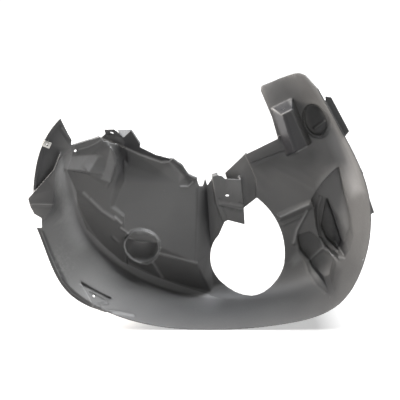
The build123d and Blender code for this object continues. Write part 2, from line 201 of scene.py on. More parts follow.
world = bpy.data.worlds.new("pale_room")
scene.world = world
world.use_nodes = True
tree = world.node_tree
tree.nodes.clear()
rays = add_node(tree, "ShaderNodeLightPath", {}, {})
seen = add_node(tree, "ShaderNodeMath", {"operation": "MAXIMUM"},
                {0: rays.outputs["Is Camera Ray"], 1: rays.outputs["Is Transmission Ray"]})
mirrored = add_node(tree, "ShaderNodeMapRange", {},
                    {0: rays.outputs["Is Glossy Ray"], 3: ROOM_LIGHT, 4: ROOM_SHEEN})
strength = add_node(tree, "ShaderNodeMath", {"operation": "MAXIMUM"},
                    {0: seen.outputs[0], 1: mirrored.outputs[0]})
room = add_node(tree, "ShaderNodeBackground", {}, {"Color": (1, 1, 1, 1), "Strength": strength.outputs[0]})
add_node(tree, "ShaderNodeOutputWorld", {}, {0: room.outputs[0]})
print(len(LAMPS), "lamps and a room at", ROOM_LIGHT)

# %% [markdown]
# ## Moulded polypropylene
# Liners are injection moulded from dark polypropylene. The tool's face is lightly blasted, so the plastic
# has a fine grain and a blurred sheen. Flow in the mould leaves large, faint patches of tone, and handling
# leaves dust and pale scuffs. Painted shade makes some areas deeper: folds, faces under edges and faces
# turned from the lamps. Painted highlights make others paler: lit facets, folds, ribs and crests. Both stay
# the same under any light. They come from one painted value on the points. The real grain is about 0.3 mm,
# too fine to show here, so it is drawn at 3 mm.

# %% Polypropylene material
PLASTIC_DARK = "#505050"
PLASTIC_LIGHT = "#5e5e5d"
# The next two colours are painted shade and painted highlight, mixed in by the painted value on the points.
PLASTIC_PAINTED_SHADE = "#18181b"
PLASTIC_PAINTED_HIGHLIGHT = "#898989"
PLASTIC_SCUFF = "#8b8a88"
PLASTIC_IOR = 1.49
FLOW_PATCH_MM = 130.0
SPECKLE_MM = 5.0
GRAIN_MM = 3.0
GRAIN_DEPTH_MM = 0.25
SCRATCH_MM = 9.0
SCRATCH_STRETCH, SCRATCH_TURN = (0.25, 1.0, 1.0), (0.2, 0.5, 0.3)
# Where in a noise, which runs from 0 to 1, roughness, dust and scratches start and are full.
ROUGH_NOISE, DUST_NOISE, SCRATCH_NOISE = (0.3, 0.7), (0.62, 0.80), (0.45, 0.75)
# Most dust, and how strong the painted shade is where the dust is gone and where the grain is at its
# faintest.
MOST_DUST = 0.35
DUST_GONE, GRAIN_FAINT = 0.5, 0.6
# Lowest and highest roughness, and strength of the grain, on the plain plastic and where the painted shade is
# strongest.
PLAIN_ROUGH, PAINTED_SHADE_ROUGH = (0.46, 0.60), (0.50, 0.52)
PLAIN_GRAIN, PAINTED_SHADE_GRAIN = 0.25, 0.03

plastic, tree, output = new_material("moulded_polypropylene")
place = add_node(tree, "ShaderNodeTexCoord", {}, {}).outputs["Object"]
flow = add_node(tree, "ShaderNodeTexNoise", {},
                {"Vector": place, "Scale": per_metre(FLOW_PATCH_MM), "Detail": 3.0})
tone = add_node(tree, "ShaderNodeMix", {"data_type": "RGBA"},
                {0: flow.outputs[0], 6: linear(PLASTIC_DARK), 7: linear(PLASTIC_LIGHT)})
speckle = add_node(tree, "ShaderNodeTexNoise", {},
                   {"Vector": place, "Scale": per_metre(SPECKLE_MM), "Detail": 4.0, "Roughness": 0.7})
# The painted value on the points: above zero painted shade, below zero painted highlight.
shift = add_node(tree, "ShaderNodeAttribute", {"attribute_name": "painted_shade_and_highlight"}, {}).outputs["Fac"]
painted_shade = add_node(tree, "ShaderNodeMapRange", {}, {0: shift, 1: 0.0, 2: 1.0})
painted_highlight = add_node(tree, "ShaderNodeMapRange", {}, {0: shift, 1: 0.0, 2: -1.0})
# Painted shade darkens the plastic's tone, and painted highlights make it paler.
deeper = add_node(tree, "ShaderNodeMix", {"data_type": "RGBA"},
                  {0: painted_shade.outputs[0], 6: tone.outputs[2], 7: linear(PLASTIC_PAINTED_SHADE)})
paler = add_node(tree, "ShaderNodeMix", {"data_type": "RGBA"},
                 {0: painted_highlight.outputs[0], 6: deeper.outputs[2], 7: linear(PLASTIC_PAINTED_HIGHLIGHT)})
most_dust = add_node(tree, "ShaderNodeMapRange", {},
                     {0: painted_shade.outputs[0], 1: 0.0, 2: DUST_GONE, 3: MOST_DUST, 4: 0.0})
dust = add_node(tree, "ShaderNodeMapRange", {},
                {0: speckle.outputs[0], 1: DUST_NOISE[0], 2: DUST_NOISE[1], 3: 0.0, 4: most_dust.outputs[0]})
dusty = add_node(tree, "ShaderNodeMix", {"data_type": "RGBA"},
                 {0: dust.outputs[0], 6: paler.outputs[2], 7: linear(PLASTIC_SCUFF)})
wear = add_node(tree, "ShaderNodeAttribute", {"attribute_name": "wear"}, {})
drag = add_node(tree, "ShaderNodeMapping", {},
                {0: place, "Scale": SCRATCH_STRETCH, "Rotation": SCRATCH_TURN})
scratch = add_node(tree, "ShaderNodeTexNoise", {},
                   {"Vector": drag.outputs[0], "Scale": per_metre(SCRATCH_MM), "Detail": 5.0,
                    "Roughness": 0.75})
scratched = add_node(tree, "ShaderNodeMapRange", {},
                     {0: scratch.outputs[0], 1: SCRATCH_NOISE[0], 2: SCRATCH_NOISE[1]})
rubbed = add_node(tree, "ShaderNodeMath", {"operation": "MULTIPLY"},
                  {0: wear.outputs["Fac"], 1: scratched.outputs[0]})
colour = add_node(tree, "ShaderNodeMix", {"data_type": "RGBA"},
                  {0: rubbed.outputs[0], 6: dusty.outputs[2], 7: linear(PLASTIC_SCUFF)})
most_rough = add_node(tree, "ShaderNodeMapRange", {},
                      {0: painted_shade.outputs[0], 3: PLAIN_ROUGH[1], 4: PAINTED_SHADE_ROUGH[1]})
least_rough = add_node(tree, "ShaderNodeMapRange", {},
                       {0: painted_shade.outputs[0], 3: PLAIN_ROUGH[0], 4: PAINTED_SHADE_ROUGH[0]})
rough = add_node(tree, "ShaderNodeMapRange", {},
                 {0: speckle.outputs[0], 1: ROUGH_NOISE[0], 2: ROUGH_NOISE[1],
                  3: least_rough.outputs[0], 4: most_rough.outputs[0]})
grain = add_node(tree, "ShaderNodeTexNoise", {},
                 {"Vector": place, "Scale": per_metre(GRAIN_MM), "Detail": 3.0})
grain_strength = add_node(tree, "ShaderNodeMapRange", {},
                          {0: painted_shade.outputs[0], 1: 0.0, 2: GRAIN_FAINT, 3: PLAIN_GRAIN, 4: PAINTED_SHADE_GRAIN})
bump = add_node(tree, "ShaderNodeBump", {},
                {"Strength": grain_strength.outputs[0], "Distance": GRAIN_DEPTH_MM * MM,
                 "Height": grain.outputs[0]})
shader = add_node(tree, "ShaderNodeBsdfPrincipled", {},
                  {"Base Color": colour.outputs[2], "Roughness": rough.outputs[0], "IOR": PLASTIC_IOR,
                   "Normal": bump.outputs[0]})
tree.links.new(shader.outputs[0], output.inputs[0])
print(plastic.name, "has", len(tree.nodes), "nodes")

# %% [markdown]
# ## From drawing to moulding
# The drawing's solid has knife-sharp corners, and a mould can't: plastic leaves it with rounded creases.
# Bevelling hundreds of crossing edges by hand would take days. Instead the solid is cut into small
# triangles that follow its curves, wrapped in a fine voxel skin, and smoothed. The cut edges of the sheet
# are kept out of the smoothing, because smoothing would thin them to nothing.

# %% Read the drawing's mesh
def read_mesh(mesh):
    """Points, one normal for each point, and the triangles of a mesh whose points belong to one face each."""
    mesh.calc_loop_triangles()
    points = np.empty(len(mesh.vertices) * 3)
    mesh.vertices.foreach_get("co", points)
    corner_normals = np.empty(len(mesh.loops) * 3)
    mesh.corner_normals.foreach_get("vector", corner_normals)
    owner = np.empty(len(mesh.loops), np.int64)
    mesh.loops.foreach_get("vertex_index", owner)
    triangles = np.empty(len(mesh.loop_triangles) * 3, np.int64)
    mesh.loop_triangles.foreach_get("vertices", triangles)
    normals = np.zeros((len(mesh.vertices), 3))
    normals[owner] = corner_normals.reshape(-1, 3)
    return points.reshape(-1, 3), normals, triangles.reshape(-1, 3)


def edge_table(triangles, count):
    """Each different edge once, and for every triangle the numbers of its three edges."""
    ends = np.sort(triangles[:, [[0, 1], [1, 2], [2, 0]]], axis=2)
    keys, number = np.unique(ends[..., 0] * count + ends[..., 1], return_inverse=True)
    return np.stack([keys // count, keys % count], axis=1), number.reshape(-1, 3)


points, normals, triangles = read_mesh(frame["nodes"]["liner"].data)
print(len(points), "points and", len(triangles), "triangles in the drawing's liner")

# %% [markdown]
# A cut edge of the sheet is a long, narrow face: twice its area divided by the length round it is about
# the sheet's thickness. Faces are found by spreading one number along the edges until it covers a face.

# %% Find the cut edges of the sheet
RIM_WIDTH_MM = 3.6


def face_numbers(triangles, count):
    """One number for each point, the same all over a connected face."""
    number = np.arange(count)
    while True:
        lowest = number[triangles].min(axis=1)
        spread = number.copy()
        for corner in range(3):
            np.minimum.at(spread, triangles[:, corner], lowest)
        spread = spread[spread]
        if (spread == number).all():
            return number
        number = spread


def rim_points(points, triangles):
    """True for the points of faces that are no wider than the sheet is thick."""
    number = face_numbers(triangles, len(points))
    edges, used = edge_table(triangles, len(points))
    single = np.bincount(used.ravel()) == 1
    length = np.linalg.norm(points[edges[:, 0]] - points[edges[:, 1]], axis=1)
    sides = points[triangles]
    area = np.linalg.norm(np.cross(sides[:, 1] - sides[:, 0], sides[:, 2] - sides[:, 0]), axis=1) / 2
    face_area = np.bincount(number[triangles[:, 0]], area, len(points))
    face_round = np.bincount(number[edges[single, 0]], length[single], len(points))
    width = 2 * face_area / np.maximum(face_round, MM)
    return width[number] < RIM_WIDTH_MM * MM


rim = rim_points(points, triangles)
print(int(rim.sum()), "points lie on cut edges")

# %% [markdown]
# Long triangles would show as flats on the curved walls. Every edge longer than a few millimetres is
# halved, and the new point is lifted off the straight line by what the normals at its two ends say.

# %% Cut long edges
LONGEST_EDGE_MM = 5.0


def halfway(points, normals, edges):
    """Middle of each edge, lifted on to the curved surface that the end normals belong to."""
    a, b = points[edges[:, 0]], points[edges[:, 1]]
    na, nb = normals[edges[:, 0]], normals[edges[:, 1]]
    rise_a = ((b - a) * na).sum(axis=1, keepdims=True)
    rise_b = ((a - b) * nb).sum(axis=1, keepdims=True)
    # A cubic curve that leaves both ends along the surface passes an eighth of each rise off the middle.
    middle = (a + b) / 2 - (rise_a * na + rise_b * nb) / 8
    normal = na + nb
    return middle, normal / np.maximum(np.linalg.norm(normal, axis=1, keepdims=True), 1e-9)


def cut_triangles(triangles, middle):
    """Triangles cut at the numbered middle points of their edges, where -1 means an edge stays whole."""
    done = [triangles[(middle < 0).all(axis=1)]]
    for turn in range(3):
        corner = np.roll(triangles, -turn, axis=1)
        half = np.roll(middle, -turn, axis=1)
        a, b, c = corner.T
        x, y, z = half.T
        one = (x >= 0) & (y < 0) & (z < 0)
        two = (x >= 0) & (y >= 0) & (z < 0)
        done += [np.stack(t, axis=1)[one] for t in ((a, x, c), (x, b, c))]
        done += [np.stack(t, axis=1)[two] for t in ((x, b, y), (a, x, y), (a, y, c))]
    a, b, c = triangles.T
    x, y, z = middle.T
    three = (middle >= 0).all(axis=1)
    done += [np.stack(t, axis=1)[three] for t in ((a, x, z), (x, b, y), (z, y, c), (x, y, z))]
    return np.concatenate(done)


def cut_long_edges(points, normals, rim, triangles, longest):
    """Halve edges until none is longer than asked. Points on cut edges stay marked."""
    while True:
        edges, used = edge_table(triangles, len(points))
        long = np.linalg.norm(points[edges[:, 0]] - points[edges[:, 1]], axis=1) > longest
        if not long.any():
            return points, normals, rim, triangles
        number = np.full(len(edges), -1)
        number[long] = len(points) + np.arange(long.sum())
        new_points, new_normals = halfway(points, normals, edges[long])
        new_rim = rim[edges[long]].all(axis=1)
        points = np.concatenate([points, new_points])
        normals = np.concatenate([normals, new_normals])
        rim = np.concatenate([rim, new_rim])
        triangles = cut_triangles(triangles, number[used])


points, normals, rim, triangles = cut_long_edges(points, normals, rim, triangles, LONGEST_EDGE_MM * MM)
print(len(triangles), "triangles, none with an edge over", LONGEST_EDGE_MM, "mm")

# %% [markdown]
# The skin is a Remesh modifier in voxel mode: it fills the solid with small cubes and wraps a smooth,
# even mesh round them. A voxel of half the wall or less keeps the thin sheet whole.

# %% Wrap a voxel skin
VOXEL_MM = 1.4


def new_object(name, points, faces):
    """A mesh object in the scene, made from points and faces."""
    mesh = bpy.data.meshes.new(name)
    mesh.from_pydata(points.tolist(), [], faces.tolist())
    piece = bpy.data.objects.new(name, mesh)
    scene.collection.objects.link(piece)
    return piece


def apply_modifiers(piece):
    """Replace the mesh by what its modifiers make of it."""
    shape = piece.evaluated_get(bpy.context.evaluated_depsgraph_get())
    mesh = bpy.data.meshes.new_from_object(shape)
    piece.modifiers.clear()
    old = piece.data
    piece.data = mesh
    bpy.data.meshes.remove(old)


liner = new_object("moulded_liner", points, triangles)
skin = liner.modifiers.new("skin", "REMESH")
skin.mode = "VOXEL"
skin.voxel_size = VOXEL_MM * MM
apply_modifiers(liner)
print("skin of", len(liner.data.vertices), "points")

# %% [markdown]
# The round dish is half closed by a lid, like an eye. The lid is a bulge that starts at the upper rim, comes
# forward, and ends in a curved lower edge. Points of the skin above that edge are moved along Y by the
# distance from the dish's floor to the lid, on both sides of the sheet, so the sheet keeps its thickness.
# The same cell moves two small strips of the left end's top edge up, where they meet the flange behind.

# %% Shape the lid of the dish
DISH_MM = (-149.0, 26.0, 168.0)
DISH_R_MM = 42.0
LID_TOP_MM = 4.0
LID_EDGE_MM = 5.0
LID_BULGE_MM = 5.0
# Shares of the dish's radius: height of the lid's lower edge, its sag and lean, and the rim that it fades at.
LID_EDGE_UP, LID_EDGE_SAG, LID_EDGE_LEAN = 0.40, 0.14, 0.14
LID_EDGE_SOFT = 0.10
LID_LEAST_TALL = 0.05
LID_RIM, LID_RIM_SOFT = 1.03, 0.06
# The dish's floor is looked for from in front of the rim, and the sheet lies this far before and behind it.
SEEK_FROM_MM = 30
SEEK_MM = 120
SHEET_FRONT_MM, SHEET_BACK_MM = 1, 9
# Each row: place and reach in mm, and the move in mm.
NUDGES = (
    ((-222.0, 21.0, 441.0), 22.0, (0.0, 0.0, 9.0)),
    ((-204.0, 36.0, 433.0), 22.0, (0.0, 0.0, 8.0)),
)


def coordinates(mesh):
    """The mesh's points as rows of x, y and z."""
    values = np.empty(len(mesh.vertices) * 3)
    mesh.vertices.foreach_get("co", values)
    return values.reshape(-1, 3)


def sheet_tree():
    """The liner's faces, sorted in space so that a ray finds them fast."""
    faces = [tuple(p.vertices) for p in liner.data.polygons]
    return BVHTree.FromPolygons(coordinates(liner.data).tolist(), faces)


def lid_moves(drawn, tree):
    """How far each point of the dish moves along Y, in mm, to make the lid."""
    across = (drawn[:, 0] - DISH_MM[0]) / DISH_R_MM
    up = (drawn[:, 2] - DISH_MM[2]) / DISH_R_MM
    edge = LID_EDGE_UP - LID_EDGE_SAG * (1 - across ** 2) - LID_EDGE_LEAN * across
    top = np.sqrt(np.clip(1 - across ** 2, 0, 1))
    part = np.clip((up - edge) / np.maximum(top - edge, LID_LEAST_TALL), 0, 1)
    bulge = LID_BULGE_MM * np.sin(np.pi * part) * np.clip(1 - across ** 2, 0, 1)
    lid_y = DISH_MM[1] + LID_EDGE_MM + (LID_TOP_MM - LID_EDGE_MM) * part - bulge
    share = np.clip((up - edge) / LID_EDGE_SOFT, 0, 1)
    share = share * np.clip((LID_RIM - np.hypot(across, up)) / LID_RIM_SOFT, 0, 1)
    moves = np.zeros(len(drawn))
    for i in np.flatnonzero(share > 0):
        start = zero + Vector((drawn[i, 0], DISH_MM[1] - SEEK_FROM_MM, drawn[i, 2])) * MM
        hit = tree.ray_cast(start, Vector((0, 1, 0)), SEEK_MM * MM)[0]
        if hit is not None:
            floor_y = (hit.y - zero.y) / MM
            if floor_y - SHEET_FRONT_MM < drawn[i, 1] < floor_y + SHEET_BACK_MM:
                moves[i] = share[i] * min(lid_y[i] - floor_y, 0)
    return moves


skin_points = coordinates(liner.data)
drawn = (skin_points - np.array(zero)) / MM
moves = lid_moves(drawn, sheet_tree())
skin_points[:, 1] += moves * MM
for place, reach, move in NUDGES:
    away = np.linalg.norm(drawn - np.array(place), axis=1)
    skin_points += np.clip(1 - away / reach, 0, 1)[:, None] * np.array(move) * MM
liner.data.vertices.foreach_set("co", skin_points.ravel())
liner.data.update()
print("lid moved", int((moves < -0.5).sum()), "points, at most", round(float(-moves.min()), 1), "mm")

# %% [markdown]
# Smoothing is weighted by how far a point is from a cut edge. Space is divided into small cells, the cells
# that hold cut edges are marked, and the mark is spread outward one layer at a time.

# %% Round the creases
CELL_MM = 3.0
KEEP_LAYERS = 3
FADE_LAYERS = 3
SETTLE_ROUNDS = 3
ROUNDING_ROUNDS = 26


def layers_from(marked, points):
    """For each point, how many layers of cells lie between it and the marked points."""
    size = CELL_MM * MM
    low = points.min(axis=0) - size
    shape = ((points.max(axis=0) - low) / size).astype(int) + 2
    reached = np.zeros(shape, bool)
    reached[tuple(((marked - low) / size).astype(int).T)] = True
    cell = tuple(((points - low) / size).astype(int).T)
    layers = np.zeros(len(points), int)
    for _ in range(KEEP_LAYERS + FADE_LAYERS):
        layers += ~reached[cell]
        grown = reached.copy()
        for axis in range(3):
            grown |= np.roll(reached, 1, axis) | np.roll(reached, -1, axis)
        reached = grown
    return layers


layers = layers_from(points[rim], coordinates(liner.data))
group = liner.vertex_groups.new(name="creases")
for step in range(1, FADE_LAYERS + 1):
    ring = np.flatnonzero(np.minimum(layers - KEEP_LAYERS, FADE_LAYERS) == step)
    group.add(ring.tolist(), step / FADE_LAYERS, "REPLACE")
settle = liner.modifiers.new("settle", "SMOOTH")
settle.iterations = SETTLE_ROUNDS
rounding = liner.modifiers.new("rounding", "SMOOTH")
rounding.vertex_group = group.name
rounding.iterations = ROUNDING_ROUNDS
apply_modifiers(liner)
print("rounded", int((layers > KEEP_LAYERS).sum()), "points")

# %% [markdown]
# ## Ribs and creases
# The mould also has small ribs, steps and creases, too fine for the drawing. Each is a line in the
# picture. Its points are sent out from the camera on to the sheet, so it lies on the surface whatever side
# it is seen from, and the points of the skin near it are pushed along their normals.

# %% Send a picture point on to the sheet
STEP_PX = 1.0
BOSS_FRONT_PX = (287, 116)

target = sheet_tree()


def on_sheet(pixel):
    """Place and normal where the ray through a picture point meets the sheet, or None."""
    x, y = pixel
    centre = PICTURE_PX / 2
    ray = Vector(((x - centre) / FOCAL_PX, (centre - y) / FOCAL_PX, -1.0))
    ray.rotate(camera.rotation_euler)
    place, normal, _, _ = target.ray_cast(camera.location, ray.normalized())
    return None if place is None else (place, normal)


def line_on_sheet(pixels):
    """Points and normals along a line of picture points, one for each pixel of its length."""
    found = []
    for (x0, y0), (x1, y1) in zip(pixels, pixels[1:]):
        steps = max(1, round(math.hypot(x1 - x0, y1 - y0) / STEP_PX))
        for i in range(steps + 1):
            hit = on_sheet((x0 + (x1 - x0) * i / steps, y0 + (y1 - y0) * i / steps))
            if hit:
                found.append(hit)
    return np.array([p for p, _ in found]), np.array([n for _, n in found])


print("boss front seen at", tuple(round(c, 3) for c in on_sheet(BOSS_FRONT_PX)[0]))

# %% [markdown]
# The facets at the left end meet in low creases that bend the whole sheet, front and back together. Each is
# again a line, with a slope on its left and one on its right that may be wide or narrow.

# %% Bend the sheet
# Each row: name, height in mm, slope to the left of the line and to the right of it in mm, picture points.
FORMS = (
    ("facet_upper", 9.0, 40.0, 6.0, ((75, 170), (82, 170.8), (89, 172))),
    ("facet_side", 8.0, 5.0, 22.0, ((110.5, 148), (114, 156), (115, 164), (113, 173), (110, 181.5))),
    ("facet_middle", 4.0, 24.0, 8.0, ((89, 172), (96, 176.5), (102, 180))),
)


def in_picture(points):
    """Picture places of points in space."""
    turn = np.array(camera.rotation_euler.to_matrix())
    seen = (points - np.array(camera.location)) @ turn
    return PICTURE_PX / 2 + FOCAL_PX * np.stack([-seen[:, 0], seen[:, 1]], axis=1) / seen[:, 2:]


def bend(points, line, line_normals, height, left, right):
    """Move points, on both sides of the sheet, along the normal of the line that they are near."""
    reach = max(left, right)
    low, high = line.min(axis=0) - reach, line.max(axis=0) + reach
    near = np.flatnonzero(((points > low) & (points < high)).all(axis=1))
    apart = np.linalg.norm(points[near, None] - line[None], axis=2)
    nearest = apart.argmin(axis=1)
    step = np.gradient(in_picture(line), axis=0)[nearest]
    away = in_picture(points[near]) - in_picture(line)[nearest]
    on_left = step[:, 0] * away[:, 1] - step[:, 1] * away[:, 0] < 0
    slope = np.where(on_left, left, right)
    push = height * np.clip(1 - apart.min(axis=1) / slope, 0, 1)
    points[near] += line_normals[nearest] * push[:, None]
    return int((push > height / 10).sum())


skin_points = coordinates(liner.data)
for name, height, left, right, pixels in FORMS:
    line, line_normals = line_on_sheet(pixels)
    moved = bend(skin_points, line, line_normals, height * MM, left * MM, right * MM)
    print(name, "moved", moved, "points")
liner.data.vertices.foreach_set("co", skin_points.ravel())
liner.data.update()
target = sheet_tree()

# %% [markdown]
# Ribs stand out on one side of the sheet only, so a point moves along its own normal, and only if that
# normal points the way the line's does.

# %% Press the ribs
# Each row: name, height in mm (below zero is a groove), half width in mm, picture points.
RIBS = (
    ("flange_fold", 1.6, 3.0, ((101, 137), (120, 145.5), (140, 154.5), (161, 162), (169, 161.5),
                               (171.5, 159))),
    ("notch_fold", 1.6, 3.0, ((181, 186.5), (188, 186.5), (193, 182))),
    ("end_lip_line", 1.4, 2.5, ((79, 149), (88, 147), (96, 143), (100, 140))),
    ("crest", 2.2, 6.0, ((90, 199), (102, 211), (114, 219))),
    ("crest_rib_1", 2.4, 4.0, ((115, 217), (121, 223))),
    ("crest_rib_2", 2.4, 4.0, ((121, 228), (128, 233))),
    ("crest_nub", 2.4, 4.0, ((113, 237), (118, 242))),
    ("dish_rim_low", 1.4, 3.0, ((124.5, 240), (124, 246), (126, 251.5), (130, 256.5), (135, 260.5),
                                (141, 263.3), (147, 264), (152, 262), (156, 258), (159, 252.5),
                                (160.5, 248))),
    ("shelf_ridge", 2.2, 4.5, ((159, 253), (177, 258), (196, 263))),
    ("undercut_rib", 2.6, 4.5, ((153, 262), (157, 269), (162, 277))),
    ("panel_fold", 1.4, 5.0, ((251, 164), (266, 159), (284, 151))),
    ("bead_upper", 2.2, 4.0, ((281, 217), (309, 204.5))),
    ("bead_lower", 2.4, 4.0, ((283, 224.5), (300, 217))),
    ("web_rib", 2.4, 4.5, ((307, 211), (302, 221), (297, 230), (294, 243))),
    ("leaf_ridge", 2.4, 4.5, ((320.5, 197), (317.5, 209), (317.5, 220), (319, 233), (324, 248),
                              (334, 256), (344, 258))),
    ("slot_rib", 1.2, 3.0, ((335, 241), (343.5, 255))),
    ("hollow_ridge", 2.4, 4.5, ((309, 260), (316, 254), (322, 249))),
    ("hollow_edge", 2.0, 4.0, ((296, 236), (298, 250), (306, 262), (309, 273), (318, 286), (326, 293))),
    ("recess_rib", 2.6, 4.0, ((315, 128), (325, 121))),
    ("wing_crease", 1.4, 4.0, ((62, 128), (71, 140))),
    ("pocket_bar", 2.4, 3.0, ((81, 285), (87, 295), (93, 305.5))),
    ("pocket_plate", 1.8, 2.5, ((90, 291.5), (98, 295.5), (105, 299.5), (107.5, 304), (104.5, 304.5),
                                (95.5, 304))),
    ("pocket_land", 2.2, 4.0, ((94, 305.5), (99, 308), (105, 311), (110, 310.5), (121, 312.5), (133, 315))),
    ("strip_step", -1.6, 3.5, ((41, 235), (47, 247), (54, 263), (66, 285), (80, 298), (98, 308))),
)
RIB_REACH = 2.5
SAME_WAY = 0.2


def press(points, normals, line, line_normals, height, width):
    """Move the points near a line along their normals, most on the line and less beside it."""
    reach = RIB_REACH * width
    low, high = line.min(axis=0) - reach, line.max(axis=0) + reach
    near = np.flatnonzero(((points > low) & (points < high)).all(axis=1))
    if not len(near):
        return 0
    apart = np.linalg.norm(points[near, None] - line[None], axis=2)
    nearest = apart.argmin(axis=1)
    same_side = (normals[near] * line_normals[nearest]).sum(axis=1) > SAME_WAY
    push = height * np.exp(-(apart.min(axis=1) / width) ** 2) * same_side
    points[near] += normals[near] * push[:, None]
    return int((abs(push) > abs(height) / 10).sum())


def normals_of(mesh):
    """The mesh's normals, one for each point."""
    values = np.empty(len(mesh.vertices) * 3)
    mesh.vertex_normals.foreach_get("vector", values)
    return values.reshape(-1, 3)


skin_points = coordinates(liner.data)
skin_normals = normals_of(liner.data)
for name, height, width, pixels in RIBS:
    line, line_normals = line_on_sheet(pixels)
    moved = press(skin_points, skin_normals, line, line_normals, height * MM, width * MM)
    print(name, "moved", moved, "points")
liner.data.vertices.foreach_set("co", skin_points.ravel())
liner.data.update()

# %% [markdown]
# ## Painted shade and highlights
# Each area is a polygon in the picture. A point of the sheet belongs to it when the camera sees it there, or
# when it lies on the back of the sheet just behind, and the value fades out over a few pixels at the border.
# The value then belongs to the point, so it stays in place from every side.

# %% Areas, lines and strips of painted shade and highlights
# Each row: name, amount (above zero painted shade, below zero painted highlight), fade in pixels, corners in
# the picture.
# Painted shade lies in folds, under edges and on faces turned from the lamps; painted highlights lie on lit
# facets and crests.
PAINTED_SHADE_AND_HIGHLIGHT_AREAS = (
    ("wing", 0.8, 5.0, ((60, 116), (72, 140), (66, 152), (52, 172), (33, 192), (32, 165), (42, 138))),
    ("gusset", 0.4, 1.5, ((54, 167), (55, 206), (41, 217), (29, 206), (27, 198))),
    ("gusset_root", 0.6, 5.0, ((53, 192), (62, 206), (60, 213), (45, 218), (53, 206))),
    ("flange", 0.9, 1.0, ((100, 136), (103, 128), (117, 129), (124, 137), (131, 129), (140, 142), (142, 148),
                          (157, 153.5), (172, 157), (169, 160.5), (161, 160.5), (140, 153), (120, 144))),
    ("under_lip", 0.3, 2.0, ((77, 150), (100, 142), (110, 146), (99, 153), (76, 156))),
    ("step", 0.8, 6.0, ((116, 146), (124, 147), (134, 152), (141, 159), (134, 168), (124, 178), (115, 185),
                        (115, 175), (117, 165))),
    ("corner_roll", 0.6, 1.5, ((173, 158), (185, 168), (190, 177), (194, 183), (189, 186), (185, 177),
                               (178, 169), (171, 161))),
    ("boss_top", 0.9, 1.5, ((273, 108), (287, 101), (294, 108), (281, 115.5))),
    ("boss_side", 1.0, 2.0, ((271, 110), (282, 115.5), (285, 117), (297, 153), (288, 156), (280, 140))),
    ("side_tab", 0.7, 1.5, ((325, 97), (331, 95), (348, 131), (342, 138))),
    ("top_plate", 0.35, 6.0, ((261, 96), (262, 85), (300, 71), (312, 78), (322, 98), (300, 101), (285, 98),
                              (272, 107))),
    ("panel_lip", 0.4, 2.0, ((245, 154), (281, 138), (284, 151), (250, 163))),
    ("return_face", 1.0, 4.0, ((198, 190), (209, 190), (213, 245), (211, 268), (207, 288), (199, 262))),
    ("boss_front", 0.85, 1.0, ((283, 115), (291, 111), (307, 146), (295, 152))),
    ("recess", 0.5, 2.0, ((306, 108), (318, 106), (328, 124), (322, 136), (310, 128))),
    ("leaf_slot", 0.8, 1.5, ((326, 199), (333, 218), (333, 238), (345, 257), (347, 252), (337, 215))),
    ("edge_strip", 0.7, 1.0, ((36, 228), (44, 231), (55, 257), (70, 287), (84, 299), (99, 308), (112, 312),
                              (112, 318), (90, 312), (66, 296), (48, 266))),
    ("pocket_shadow", 0.45, 4.0, ((84, 285), (96, 288), (112, 297), (112, 301), (103, 297), (91, 291))),
    ("pocket_slot", 0.9, 0.8, ((98, 307), (101, 306.5), (103, 308.5), (100, 309))),
    ("bracket_band", -0.3, 1.0, ((219, 199.5), (243, 204.5), (244, 210), (219, 204.5))),
    ("dish_bowl", 0.45, 3.0, ((128, 240), (140, 243), (157, 243), (154, 257), (146, 262), (134, 257))),
    ("facet_1", -0.8, 1.0, ((71.5, 156), (100, 154.5), (89, 172), (80, 170), (68, 169))),
    ("facet_2", -0.5, 1.0, ((110.5, 147), (115, 163), (110, 182), (101, 179), (105.5, 167))),
    ("web_facet", -0.5, 2.0, ((291, 258), (297, 252), (301, 259), (294, 267))),
    ("arm_crest", -0.8, 5.0, ((331, 126), (346, 143), (357, 168), (362, 190), (352, 195), (344, 180),
                              (338, 160), (329, 138))),
    ("arm_foot", 0.25, 8.0, ((350, 262), (372, 262), (366, 285), (345, 312), (320, 318), (325, 300),
                             (345, 285))),
    ("leaf", -0.4, 2.0, ((334.5, 164), (325, 172), (317, 184), (314, 196), (317, 204), (322, 197), (328, 199),
                         (337, 215), (346, 230), (348, 226), (346, 211), (341, 184), (337, 166))),
    ("flap", -0.25, 2.0, ((228, 176), (240, 162), (256, 196), (245, 205))),
    ("band_light", -0.35, 6.0, ((62, 205), (75, 200), (80, 225), (88, 245), (78, 250), (66, 235))),
    ("band_foot", 0.2, 8.0, ((105, 283), (125, 283), (140, 300), (125, 308), (112, 300))),
    ("panel_foot", 0.2, 6.0, ((160, 247), (170, 235), (196, 232), (197, 262), (178, 257))),
    ("panel_shade", 0.5, 6.0, ((249, 163), (283, 150), (290, 157), (308, 148), (318, 150), (312, 166),
                               (298, 176), (275, 166), (262, 175), (256, 182))),
    ("hollow_floor", 0.4, 3.0, ((312, 262), (322, 252), (334, 264), (341, 270), (336, 292), (329, 295),
                                (318, 280))),
    ("lid_under", 0.3, 2.0, ((128, 236), (140, 235), (152, 237), (150, 241), (136, 241))),
)
